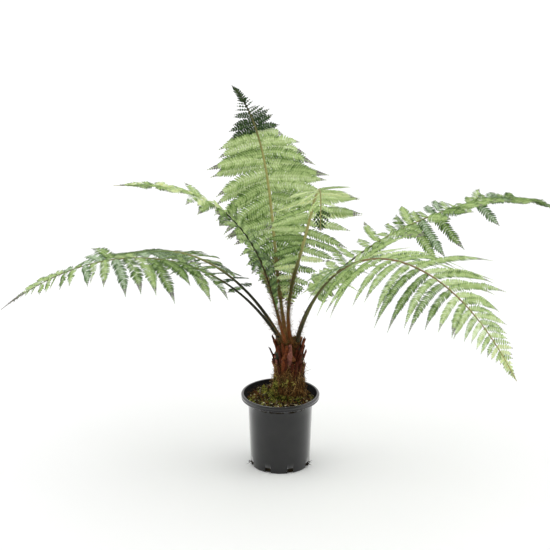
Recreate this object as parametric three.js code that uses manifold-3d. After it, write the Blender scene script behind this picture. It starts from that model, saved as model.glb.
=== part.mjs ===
// A young tree fern in a round nursery pot: a short trunk clothed in old stalk bases, and seven
// long fronds that rise from its crown, arch over and droop. Millimetres, +Z up, origin at the
// middle of the pot's flat underside.
import * as THREE from "three";
import { mergeVertices } from "three/addons/utils/BufferGeometryUtils.js";
import Module from "manifold-3d";

const wasm = await Module();
wasm.setup();

const GAP = 0.3; // what touching pieces keep between them
const DEGREE = Math.PI / 180;
const UP = new THREE.Vector3(0, 0, 1);

// The pot.
const POT_HEIGHT = 198;
const POT_SIDES = 32;
const WALL = 2.1;
const FOOT_RADIUS = 77.6;
const BODY_RADIUS = 84; // at the body's top
const BODY_HEIGHT = 180;
const LIP_RADIUS = 102.5;
const LIP_WIDTH = 7;
const LIP_HEIGHT = 13;
const EDGE = 1.5; // the bevel on the lip and the foot
const SLOTS = 8;
const FIRST_SLOT = 20; // degrees round from the front
const SLOT_WIDTH = 17;
const SLOT_HEIGHT = 14;

// The compost.
const SOIL_TOP = 188;
const SOIL_RINGS = [0.25, 0.5, 0.72, 0.9];
const SOIL_SWELL = 4;
const SOIL_CLEARANCE = 2 * GAP;
const LEVEL_RADIUS = 60; // round the trunk, inside this, the compost is level
const UNEVEN_RADIUS = 78;

// The trunk, which stands a little off the pot's axis.
const TRUNK = new THREE.Vector3(23, 0, SOIL_TOP + GAP);
const CROWN_HEIGHT = 345;
const CROWN_RADIUS = 31;
const TRUNK_WAIST = 34;
const ROOT_FLARE = 9;
const TRUNK_SIDES = 18;
const TRUNK_ROWS = 5;
const BASE_RINGS = 3; // rings of old stalk bases up the trunk
const BASES_IN_RING = 8;
const FIRST_RING = 50; // the lowest ring, above the trunk's foot
const RING_STEP = 26;
const BASE_LENGTH = 48;
const BASE_WIDTH = 15;
const BASE_THICKNESS = 8;
const BASE_LEAN = 13;
const CENTRE_STUBS = 3;
const STUB_LENGTH = 30;
const STUB_RADIUS = 5.5;
const STUB_ROOT = 3; // how deep they are set in the crown

// What every frond shares. A stalk is bare up to its first leaflets.
const BARE = 0.22;
const SPLIT = 0.52; // where the blade is parted, as a share of the whole frond
const STALK_SIDES = 5;
const STEP = 38; // length of one straight stretch of stalk
const SWOLLEN_RADIUS = 6.2;
const STALK_RADIUS = 4.4;
const TIP_RADIUS = 0.9;
const PAIRS = 18;
const CROWDING = 1.4; // over 1, the leaflets stand closer towards the tip
const LEAFLET_WIDTH = 0.84; // as a share of the room along the rib
const WIDEST_LEAFLET = 32;
const SHORTEST_LEAFLET = 15;
const THINNEST = 1.2;
const CURL = 0.25; // how far a leaflet turns towards the frond's tip along its length

// Each frond, with every angle in degrees:
// seat: the turn and radius of its stalk's middle on the crown;
// heading and bank: its turn and how far its right side is raised, at the foot and at the tip;
// slopes: how steeply it climbs at its foot, a third, two thirds and its tip;
// leaflet: the longest leaflet; spread: the angle from rib to leaflet at the blade's foot and tip;
// sweep: what the right side's leaflets add to that angle and the left side's take off;
// sag: how far the left and right leaflets start below level; droop: how strongly their own weight
// bends them; base: the lowest leaflets' length, as a share of the longest; swells: the share of the
// blade over which they grow to it; shoulder: the share at its tip over which they shorten again;
// taper: the power by which they do; first: the share of the blade below which it has no leaflets.
const FRONDS = [
  {
    name: "low_left",
    seat: [200, 23],
    heading: [200, 198],
    length: 870,
    slopes: [61, 32, -4, -34],
    leaflet: 168,
    spread: [110, 48],
    bank: [-3, -12],
    sweep: 0,
    sag: [2, -2],
    droop: 0.65,
    base: 0.42,
    swells: 0.32,
    shoulder: 0.52,
    taper: 1.2,
    first: 0.19,
  },
  {
    name: "back_left",
    seat: [156, 24],
    heading: [140, 130],
    length: 750,
    slopes: [52, 15, -15, -15],
    leaflet: 130,
    spread: [95, 50],
    bank: [5, 0],
    sweep: 0,
    sag: [-14, 22],
    droop: 0.3,
    base: 0.42,
    swells: 0.32,
    shoulder: 0.52,
    taper: 1.1,
    first: 0,
  },
  {
    name: "high_left",
    seat: [245, 21],
    heading: [213, 206],
    length: 770,
    slopes: [71, 66, 32, 6],
    leaflet: 138,
    spread: [86, 48],
    bank: [4, -10],
    sweep: 30,
    sag: [-9, -9],
    droop: 0.62,
    base: 0.42,
    swells: 0.32,
    shoulder: 0.52,
    taper: 1.1,
    first: 0,
  },
  {
    name: "upright",
    seat: [118, 17],
    heading: [103, 123],
    length: 710,
    slopes: [47, 74, 63, 16],
    leaflet: 160,
    spread: [112, 50],
    bank: [8, 20],
    sweep: 4,
    sag: [3, 3],
    droop: 0.85,
    base: 0.25,
    swells: 0.55,
    shoulder: 0.42,
    taper: 1.7,
    first: 0,
  },
  {
    name: "front",
    seat: [287, 19],
    heading: [-56, -94],
    length: 790,
    slopes: [118, 60, 44, -80],
    leaflet: 130,
    spread: [103, 45],
    bank: [18, -20],
    sweep: -4,
    sag: [3, 3],
    droop: 0.3,
    base: 0.3,
    swells: 0.5,
    shoulder: 0.52,
    taper: 0.7,
    first: 0,
  },
  {
    name: "high_right",
    seat: [20, 23],
    heading: [24, 16],
    length: 910,
    slopes: [81, 28, 7, -48],
    leaflet: 120,
    spread: [92, 34],
    bank: [8, 12],
    sweep: 0,
    sag: [-4, -8],
    droop: 0.25,
    base: 0.85,
    swells: 0.32,
    shoulder: 0.52,
    taper: 1,
    first: 0,
  },
  {
    name: "low_right",
    seat: [330, 23],
    heading: [-50, -45],
    length: 990,
    slopes: [70, 34, -15, -51],
    leaflet: 230,
    spread: [86, 72],
    bank: [-8, 2],
    sweep: -3,
    sag: [0, -5],
    droop: 0.7,
    base: 0.42,
    swells: 0.32,
    shoulder: 0.52,
    taper: 1.15,
    first: 0,
  },
];

const materials = {
  pot: new THREE.MeshStandardMaterial({ color: 0x1d1e20, roughness: 0.38, metalness: 0 }),
  compost: new THREE.MeshStandardMaterial({ color: 0x2e2415, roughness: 1, metalness: 0 }),
  trunk: new THREE.MeshStandardMaterial({ color: 0x4a2314, roughness: 0.9, metalness: 0 }),
  stalk: new THREE.MeshStandardMaterial({ color: 0x3d3a1c, roughness: 0.6, metalness: 0 }),
  leaf: new THREE.MeshStandardMaterial({ color: 0x6f9a45, roughness: 0.6, metalness: 0 }),
};

// A closed three.js geometry as a manifold-3d solid.
function solidOf(geometry) {
  const bare = geometry.clone();
  bare.deleteAttribute("normal");
  bare.deleteAttribute("uv");
  const merged = mergeVertices(bare, 1e-3);
  return new wasm.Manifold(
    new wasm.Mesh({
      numProp: 3,
      vertProperties: new Float32Array(merged.getAttribute("position").array),
      triVerts: new Uint32Array(merged.index.array),
    }),
  );
}

// A manifold-3d solid as a three.js geometry.
function geometryOf(solid) {
  const mesh = solid.getMesh();
  const geometry = new THREE.BufferGeometry()
    .setAttribute("position", new THREE.BufferAttribute(mesh.vertProperties, 3))
    .setIndex(new THREE.BufferAttribute(mesh.triVerts, 1));
  geometry.computeVertexNormals();
  return geometry;
}

// Joins solids and keeps the largest piece, so no loose scrap is left.
function fuse(solids) {
  const pieces = wasm.Manifold.union(solids).decompose();
  return pieces.reduce((largest, piece) => (piece.volume() > largest.volume() ? piece : largest));
}

// True if the solid comes closer to one of the others than touching pieces may.
function touches(solid, others) {
  return others.some((other) => solid.minGap(other, GAP) < GAP);
}

// Moves the points of a cylinder or cone, which runs along Y from -0.5 to 0.5, onto a path.
// place(t) gives the middle, the two directions across and the half sizes at t, from 0 to 1.
function wrapAlong(geometry, place) {
  const positions = geometry.getAttribute("position");
  const point = new THREE.Vector3();
  for (let i = 0; i < positions.count; i++) {
    point.fromBufferAttribute(positions, i);
    const { middle, across, over, halfWidth, halfDepth } = place(point.y + 0.5);
    const reach = Math.hypot(point.x, point.z);
    const turn = Math.atan2(point.z, point.x);
    const out = reach < 1e-9 ? 0 : 1;
    point
      .copy(middle)
      .addScaledVector(across, out * Math.cos(turn) * halfWidth)
      .addScaledVector(over, out * Math.sin(turn) * halfDepth);
    positions.setXYZ(i, point.x, point.y, point.z);
  }
  return geometry;
}

// The value at t of the cubic that passes through four values at 0, 1/3, 2/3 and 1.
function through(values, t) {
  return values.reduce((sum, value, i) => {
    const weight = values.reduce((w, _, j) => (j === i ? w : (w * (3 * t - j)) / (i - j)), 1);
    return sum + value * weight;
  }, 0);
}

// The share of the blade passed at a share u of the whole frond: below 0 on the bare stalk.
function bladeShare(u) {
  return (u - BARE) / (1 - BARE);
}

// A frond's line from its seat on the crown to its tip, with the directions across it.
class FrondLine extends THREE.Curve {
  constructor(frond) {
    super();
    this.frond = frond;
    this.steps = 90;
    const [turn, radius] = frond.seat;
    const point = new THREE.Vector3(
      TRUNK.x + radius * Math.cos(turn * DEGREE),
      TRUNK.y + radius * Math.sin(turn * DEGREE),
      CROWN_HEIGHT + GAP,
    );
    this.points = [point.clone()];
    for (let i = 0; i < this.steps; i++) {
      const { along } = this.directions((i + 0.5) / this.steps);
      this.points.push(point.addScaledVector(along, frond.length / this.steps).clone());
    }
  }

  directions(u) {
    const [from, to] = this.frond.heading;
    const heading = (from + (to - from) * u) * DEGREE;
    const slope = through(this.frond.slopes, u) * DEGREE;
    const [bankAtFoot, bankAtTip] = this.frond.bank;
    const bank = (bankAtFoot + (bankAtTip - bankAtFoot) * Math.max(0, bladeShare(u))) * DEGREE;
    const along = new THREE.Vector3(
      Math.cos(slope) * Math.cos(heading),
      Math.cos(slope) * Math.sin(heading),
      Math.sin(slope),
    );
    const level = new THREE.Vector3(Math.sin(heading), -Math.cos(heading), 0);
    const above = level.clone().cross(along);
    const right = level.clone().multiplyScalar(Math.cos(bank)).addScaledVector(above, Math.sin(bank));
    const over = above.multiplyScalar(Math.cos(bank)).addScaledVector(level, -Math.sin(bank));
    return { along, right, over };
  }

  getPoint(u) {
    const place = Math.min(Math.max(u, 0), 1) * this.steps;
    const i = Math.min(Math.floor(place), this.steps - 1);
    return this.points[i].clone().lerp(this.points[i + 1], place - i);
  }
}

// The stalk's radius: swollen at the foot, and thinner all the way to the tip.
function stalkRadius(frond, u) {
  const swell = (SWOLLEN_RADIUS - STALK_RADIUS) * Math.exp((-u * frond.length) / 28);
  return TIP_RADIUS + (STALK_RADIUS - TIP_RADIUS) * (1 - u) ** 0.8 + swell;
}

// One stretch of stalk or rib between two shares of the frond's length.
function stretchSolid(line, from, to) {
  const steps = Math.max(3, Math.ceil(((to - from) * line.frond.length) / STEP));
  const tube = new THREE.CylinderGeometry(1, 1, 1, STALK_SIDES, steps);
  const wrapped = wrapAlong(tube, (t) => {
    const u = from + (to - from) * t;
    const { right, over } = line.directions(u);
    const radius = stalkRadius(line.frond, u);
    if (u === 0) over.crossVectors(right.setZ(0).normalize(), UP); // lies flat on its seat
    return {
      middle: line.getPoint(u),
      across: right,
      over,
      halfWidth: radius,
      halfDepth: radius,
    };
  });
  return facingOut(wrapped);
}

// A solid from a wrapped geometry, turned the right way out.
function facingOut(geometry) {
  const index = geometry.index.array;
  const position = geometry.getAttribute("position");
  const [a, b, c] = [new THREE.Vector3(), new THREE.Vector3(), new THREE.Vector3()];
  let volume = 0;
  for (let i = 0; i < index.length; i += 3) {
    a.fromBufferAttribute(position, index[i]);
    b.fromBufferAttribute(position, index[i + 1]);
    c.fromBufferAttribute(position, index[i + 2]);
    volume += a.dot(b.cross(c));
  }
  if (volume < 0)
    for (let i = 0; i < index.length; i += 3)
      [index[i + 1], index[i + 2]] = [index[i + 2], index[i + 1]];
  return solidOf(geometry);
}

// The leaflets' length along the blade, as a share of the longest: v runs from its foot to its tip.
function bladeOutline(frond, v) {
  const swelling = Math.sin((Math.min(v / frond.swells, 1) * Math.PI) / 2);
  const share = frond.base + (1 - frond.base) * swelling;
  return share * Math.min(1, (1 - v) / frond.shoulder) ** frond.taper;
}

// A smooth seeded unevenness from -1 to 1, so neighbouring leaflets lean alike.
function unevenness(seed, side, v) {
  return (
    0.6 * Math.sin(19.2 * v + 2.4 * seed + side) + 0.4 * Math.sin(46.2 * v + 5.1 * seed - 2 * side)
  );
}

// Where one leaflet starts, how long it is, and the direction of its midrib at t.
function leafletPlan(line, seed, v, side) {
  const { frond } = line;
  const u = BARE + (1 - BARE) * v;
  const { along, right, over } = line.directions(u);
  const uneven = unevenness(seed, side, v);
  const [spreadAtFoot, spreadAtTip] = frond.spread;
  const spread = spreadAtFoot + (spreadAtTip - spreadAtFoot) * v * v;
  const angle = (spread + side * frond.sweep + 5 * uneven) * DEGREE;
  const sag = (frond.sag[side < 0 ? 0 : 1] + 7 * uneven) * DEGREE;
  const outward = right
    .clone()
    .multiplyScalar(side * Math.cos(sag))
    .addScaledVector(over, -Math.sin(sag));
  const start = along.clone().multiplyScalar(Math.cos(angle)).addScaledVector(outward, Math.sin(angle));
  const variation = 1 + 0.06 * unevenness(seed + 3, side, v);
  const length = frond.leaflet * bladeOutline(frond, v) * variation;
  const pull = frond.droop * (1 + 0.35 * uneven) * Math.min(1, length / 100);
  const direction = (t) =>
    start
      .clone()
      .addScaledVector(UP, -pull * t)
      .addScaledVector(along, CURL * t)
      .normalize();
  return { foot: line.getPoint(u), length, direction, over };
}

// A leaflet's width along its length, as a share of its widest.
function leafletOutline(t) {
  return (0.4 + 0.6 * Math.min(1, t / 0.12)) * Math.min(1, (1 - t) / 0.62) ** 0.8;
}

// One leaflet: a thin three-sided blade with a ridge for its midrib, from inside the rib to its tip.
function leafletSolid(plan, room) {
  const { foot, length, direction, over } = plan;
  const steps = length > 60 ? 3 : 2;
  const width = Math.min(WIDEST_LEAFLET, LEAFLET_WIDTH * room, 0.36 * length);
  const thickness = Math.max(THINNEST, length / 95);
  const middles = [foot.clone()];
  const fine = 12;
  for (let i = 0; i < fine; i++)
    middles.push(
      middles[i].clone().addScaledVector(direction((i + 0.5) / fine), length / fine),
    );
  const cone = new THREE.ConeGeometry(1, 1, 3, steps);
  return facingOut(
    wrapAlong(cone, (share) => {
      const t = share ** 1.35;
      const i = Math.min(Math.floor(t * fine), fine - 1);
      const along = direction(t);
      const top = over.clone().addScaledVector(along, -over.dot(along)).normalize();
      return {
        middle: middles[i].clone().lerp(middles[i + 1], t * fine - i),
        across: top.clone().cross(along),
        over: top,
        halfWidth: (width / Math.sqrt(3)) * leafletOutline(t),
        halfDepth: thickness * (share < 1 ? 1 : 0),
      };
    }),
  );
}

// The leaflets that stand between two shares of a frond, as plans with the room each has.
function leafletPlans(line, seed, from, to) {
  const plans = [];
  const spot = (i) => 1 - (1 - i / PAIRS) ** CROWDING;
  for (let i = 0; i < PAIRS; i++) {
    const v = spot(i + 0.5);
    const u = BARE + (1 - BARE) * v;
    if (u < from || u >= to || v < line.frond.first) continue;
    const room = (spot(i + 1) - spot(i)) * (1 - BARE) * line.frond.length;
    for (const side of [-1, 1]) {
      const plan = leafletPlan(line, seed, v, side);
      if (plan.length >= SHORTEST_LEAFLET) plans.push({ plan, room });
    }
  }
  return plans;
}

// The frond's three pieces: bare stalk, inner blade and outer blade, as ribs still without leaflets.
function frondPieces(frond, seed) {
  const line = new FrondLine(frond);
  const clear = GAP / frond.length;
  const spans = [
    ["stalk", 0, BARE],
    ["inner", BARE + clear, SPLIT],
    ["outer", SPLIT + clear, 1],
  ];
  return spans.map(([part, from, to]) => ({
    name: `${frond.name}_${part}`,
    line,
    seed,
    from,
    to,
    material: part === "stalk" ? materials.stalk : materials.leaf,
    solid: stretchSolid(line, from, to),
  }));
}

// Grows the leaflets on a blade's rib, leaving out any that would touch another piece.
function growLeaflets(piece, others) {
  const kept = leafletPlans(piece.line, piece.seed, piece.from, piece.to)
    .map(({ plan, room }) => leafletSolid(plan, room))
    .filter((leaflet) => !touches(leaflet, others));
  piece.solid = fuse([piece.solid, ...kept]);
}

// The pot's inside: a tapering body, a shoulder that flares out from it, and the lip.
const INSIDE = [
  [FOOT_RADIUS - WALL, WALL],
  [BODY_RADIUS - WALL, BODY_HEIGHT],
  [LIP_RADIUS - LIP_WIDTH, POT_HEIGHT - LIP_HEIGHT + WALL],
];

// The radius of the pot's inside at a height.
function insideRadius(z) {
  const top = INSIDE.findIndex(([, height], i) => i > 0 && z <= height);
  const [[r0, z0], [r1, z1]] = INSIDE.slice(top - 1, top + 1);
  return r0 + ((r1 - r0) * (z - z0)) / (z1 - z0);
}

// A solid turned about the Z axis from [radius, height] points that start and end on the axis.
function turnedGeometry(points) {
  const profile = points.map(([r, z]) => new THREE.Vector2(r, z));
  return new THREE.LatheGeometry(profile, POT_SIDES).rotateX(Math.PI / 2);
}

function potSolid() {
  const shoulderTop = POT_HEIGHT - LIP_HEIGHT;
  const shell = turnedGeometry([
    [0, 0],
    [FOOT_RADIUS - EDGE, 0],
    [FOOT_RADIUS, EDGE],
    [BODY_RADIUS, BODY_HEIGHT - WALL],
    [LIP_RADIUS - EDGE, shoulderTop],
    [LIP_RADIUS, shoulderTop + EDGE],
    [LIP_RADIUS, POT_HEIGHT - EDGE],
    [LIP_RADIUS - EDGE, POT_HEIGHT],
    [LIP_RADIUS - LIP_WIDTH + EDGE, POT_HEIGHT],
    [LIP_RADIUS - LIP_WIDTH, POT_HEIGHT - EDGE],
    ...INSIDE.toReversed(),
    [0, WALL],
  ]);
  const slots = Array.from({ length: SLOTS }, (_, i) => {
    const box = new THREE.BoxGeometry(SLOT_WIDTH, 8 * WALL, 2 * SLOT_HEIGHT);
    box.translate(0, -FOOT_RADIUS, 0).rotateZ((FIRST_SLOT + (i * 360) / SLOTS) * DEGREE);
    return solidOf(box);
  });
  return facingOut(shell).subtract(wasm.Manifold.union(slots));
}

// The compost's level: flat round the trunk, gently uneven elsewhere.
function soilLevel(x, y) {
  const away = Math.hypot(x - TRUNK.x, y - TRUNK.y);
  const rise = THREE.MathUtils.smoothstep(away, LEVEL_RADIUS, UNEVEN_RADIUS);
  return SOIL_TOP + rise * SOIL_SWELL * Math.sin(x / 13 + 1) * Math.cos(y / 17);
}

function soilSolid() {
  const beside = (z) => [insideRadius(z) - SOIL_CLEARANCE, z];
  const floor = WALL + GAP;
  const brink = beside(SOIL_TOP - SOIL_SWELL);
  const body = turnedGeometry([
    [0, floor],
    beside(floor),
    beside(BODY_HEIGHT),
    brink,
    ...SOIL_RINGS.toReversed().map((share) => [brink[0] * share, SOIL_TOP]),
    [0, SOIL_TOP],
  ]);
  const positions = body.getAttribute("position");
  for (let i = 0; i < positions.count; i++)
    if (positions.getZ(i) > SOIL_TOP - GAP)
      positions.setZ(i, soilLevel(positions.getX(i), positions.getY(i)));
  return facingOut(body);
}

// The trunk's radius at t, from its flared foot to the crown.
function trunkRadius(t) {
  return TRUNK_WAIST + (CROWN_RADIUS - TRUNK_WAIST) * t + ROOT_FLARE * Math.exp(-9 * t);
}

// The trunk's bare core, from its flat foot to the flat crown that carries the stalks.
function trunkCore() {
  const height = CROWN_HEIGHT - TRUNK.z;
  const core = new THREE.CylinderGeometry(1, 1, 1, TRUNK_SIDES, TRUNK_ROWS);
  return facingOut(
    wrapAlong(core, (t) => ({
      middle: TRUNK.clone().addScaledVector(UP, t * height),
      across: new THREE.Vector3(1, 0, 0),
      over: new THREE.Vector3(0, 1, 0),
      halfWidth: trunkRadius(t),
      halfDepth: trunkRadius(t),
    })),
  );
}

// One old stalk base: a flat stub that leans out from the core at a turn and height.
function stalkBase(turn, foot, length) {
  const out = new THREE.Vector3(Math.cos(turn), Math.sin(turn), 0);
  const across = new THREE.Vector3(-Math.sin(turn), Math.cos(turn), 0);
  const along = UP.clone().multiplyScalar(Math.cos(BASE_LEAN * DEGREE));
  along.addScaledVector(out, Math.sin(BASE_LEAN * DEGREE));
  const t = (foot - TRUNK.z) / (CROWN_HEIGHT - TRUNK.z);
  const start = new THREE.Vector3(TRUNK.x, TRUNK.y, foot);
  start.addScaledVector(out, trunkRadius(t) - 0.6 * BASE_THICKNESS);
  const stub = new THREE.CylinderGeometry(1, 1, 1, 5, 1);
  return facingOut(
    wrapAlong(stub, (s) => ({
      middle: start.clone().addScaledVector(along, s * length),
      across,
      over: out,
      halfWidth: (BASE_WIDTH / 2) * (1 - 0.45 * s),
      halfDepth: (BASE_THICKNESS / 2) * (1 - 0.35 * s),
    })),
  );
}

// The upright stubs in the middle of the crown.
function centreStub(i) {
  const turn = (i / CENTRE_STUBS) * 2 * Math.PI + 0.9;
  const length = STUB_LENGTH * (1 - 0.18 * i);
  const away = 0.85 * STUB_RADIUS;
  const stub = new THREE.CylinderGeometry(0.35 * STUB_RADIUS, STUB_RADIUS, length, 6);
  stub.rotateX(Math.PI / 2);
  stub.translate(TRUNK.x + away * Math.cos(turn), TRUNK.y + away * Math.sin(turn), CROWN_HEIGHT);
  return solidOf(stub.translate(0, 0, length / 2 - STUB_ROOT));
}

// The trunk with its old stalk bases in staggered rings, each clear of the living stalks.
function trunkSolid(stalks) {
  const bases = [];
  for (let ring = 0; ring < BASE_RINGS; ring++)
    for (let i = 0; i < BASES_IN_RING; i++) {
      const stagger = (ring % 2) / 2 + 0.13 * Math.sin(5 * i + 3 * ring);
      const turn = ((i + stagger) / BASES_IN_RING) * 2 * Math.PI;
      const foot = TRUNK.z + FIRST_RING + ring * RING_STEP + 5 * Math.sin(4 * i + ring);
      const length = BASE_LENGTH * (1 + 0.15 * Math.sin(7 * i + 2 * ring));
      bases.push(stalkBase(turn, foot, length));
    }
  for (let i = 0; i < CENTRE_STUBS; i++) bases.push(centreStub(i));
  return fuse([trunkCore(), ...bases.filter((base) => !touches(base, stalks))]);
}

function meshOf(name, solid, material) {
  const mesh = new THREE.Mesh(geometryOf(solid), material);
  mesh.name = name;
  return mesh;
}

const fern = new THREE.Group();
fern.add(meshOf("pot", potSolid(), materials.pot));
fern.add(meshOf("compost", soilSolid(), materials.compost));

const pieces = FRONDS.flatMap((frond, seed) => frondPieces(frond, seed));
const stalks = pieces.filter((piece) => piece.from === 0).map((piece) => piece.solid);
const trunk = trunkSolid(stalks);
fern.add(meshOf("trunk", trunk, materials.trunk));

for (const piece of pieces) {
  if (piece.from > 0) {
    const others = pieces.filter((other) => other !== piece).map((other) => other.solid);
    growLeaflets(piece, [trunk, ...others]);
  }
  fern.add(meshOf(piece.name, piece.solid, piece.material));
}

export default fern;
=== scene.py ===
"""The potted tree fern's looks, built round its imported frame: a smooth pot, mossy compost, a shaggy
trunk, and fronds whose leaflets grow by the frame's own rule, carried on to toothed lobes.
Metres, +Z up, the pot's foot at the origin."""

import itertools
import math

import bpy
import numpy as np
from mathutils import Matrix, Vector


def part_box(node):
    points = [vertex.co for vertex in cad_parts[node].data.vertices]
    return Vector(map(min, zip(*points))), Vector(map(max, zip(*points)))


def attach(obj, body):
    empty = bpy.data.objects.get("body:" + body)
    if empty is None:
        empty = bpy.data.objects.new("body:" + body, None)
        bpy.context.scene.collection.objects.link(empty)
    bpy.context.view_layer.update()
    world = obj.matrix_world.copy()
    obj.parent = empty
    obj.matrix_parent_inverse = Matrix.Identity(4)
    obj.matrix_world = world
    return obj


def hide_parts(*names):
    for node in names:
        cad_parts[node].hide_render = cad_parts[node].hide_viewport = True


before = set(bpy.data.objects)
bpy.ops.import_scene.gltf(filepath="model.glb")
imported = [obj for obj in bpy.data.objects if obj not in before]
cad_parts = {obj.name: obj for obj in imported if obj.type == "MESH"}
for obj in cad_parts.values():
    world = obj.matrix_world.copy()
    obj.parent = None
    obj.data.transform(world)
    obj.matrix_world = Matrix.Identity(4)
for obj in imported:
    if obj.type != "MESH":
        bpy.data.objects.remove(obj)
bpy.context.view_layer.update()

SEED = 11
UP = np.array([0.0, 0.0, 1.0])

# Places read from the frame, and how far right of the pot's middle the trunk stands.
LIP_RADIUS, _, POT_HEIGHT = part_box("pot")[1]
SOIL_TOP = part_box("trunk")[0][2]
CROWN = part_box("upright_stalk")[0][2]
TRUNK_X = 0.023

# The rule that the fronds share with the frame.
BARE = 0.22
STEPS = 90
CROWDING = 1.8
SWOLLEN_RADIUS = 0.0062
STALK_RADIUS = 0.0044
TIP_RADIUS = 0.0009
SWELLING_LENGTH = 0.028
CURL = 0.25
# How far a leaflet strays from its rule, by the frond's slow unevenness and by its own chance.
SPREAD_STRAY = (5, 2.5)
SAG_STRAY = (7, 4)
DROOP_STRAY = (0.35, 0.15)
LENGTH_STRAY = (0.06, 0.03)

# What the leaflets have here that the frame's solids leave out.
LEAFLET_STEPS = 12
WIDEST_LEAFLET = 0.031
SHORTEST_LEAFLET = 0.004
SIMPLE_LEAFLET = 0.020
GREY_LEAFLET = 0.012
LOW_LEAFLET_STEP = 0.016
# Its twist strays by so many degrees at foot and tip. Its rows of lobes are raised by FOLD, and
# each lobe curls down by LOBE_CURL (the middle and the scatter of both).
TWIST_STRAY = (6, 10)
FOLD = (4, 7)
LOBE_CURL = (0.12, 0.07)
# Lobes stand at LOBE_ANGLE to the midrib, less LOBE_CLOSING at its tip; they curve forwards by
# LOBE_LEAN, tilt by LOBE_TILT, are LOBE_WIDTH of their spacing wide, and some are a shade darker.
LOBE_PITCH = 0.0064
LOBE_ANGLE = 74
LOBE_CLOSING = 24
LOBE_LEAN = 0.16
LOBE_TILT = 9
LOBE_WIDTH = 0.56
LOBE_TEETH = 5
DARKER_SHARE = 0.15
# The shorter a lobe, the fewer its teeth: how many, and the length above which it has them.
LOBE_KINDS = ((LOBE_TEETH, 0.0055), (3, 0.003), (2, 0))

# The frame's values for each frond. seat: turn and radius of its place on the crown; heading and
# bank: its turn, and how far its right side is raised, at foot and tip; slopes: at the foot, a
# third, two thirds and the tip; leaflet: the longest leaflet; spread: the angle from rib to leaflet
# at foot and tip; sweep: what the right leaflets add to it and the left take off; sag: how far left
# and right leaflets start below level; droop: how strongly they bend down; base: the lowest ones'
# share of the longest; swells: the share of the blade over which they grow to it; shoulder and
# taper: the share at the tip over which they shorten, and the power; first: where they begin.
# The scene's own. pairs: leaflets a side; a first below 0 also sets small ones below the blade;
# hang: place, side and further sag of single leaflets; twist: how far the front edge of left and
# right leaflets dips; broad: their width; slim: how much narrower they get near the tip; apex:
# share and width of the tongue at the blade's end; thick: the rib's thickness; hairs: how many the
# stalk has, and how far up; tones: the greens dealt out along the blade, with the share where each
# set ends; stalk: its colours at the foot, the bare stalk, the rib and the tip.
FROND = dict(sweep=0, base=0.42, swells=0.32, shoulder=0.52, first=-0.11, hang=(), slim=0,
             hairs=(90, 0.074))
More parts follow.
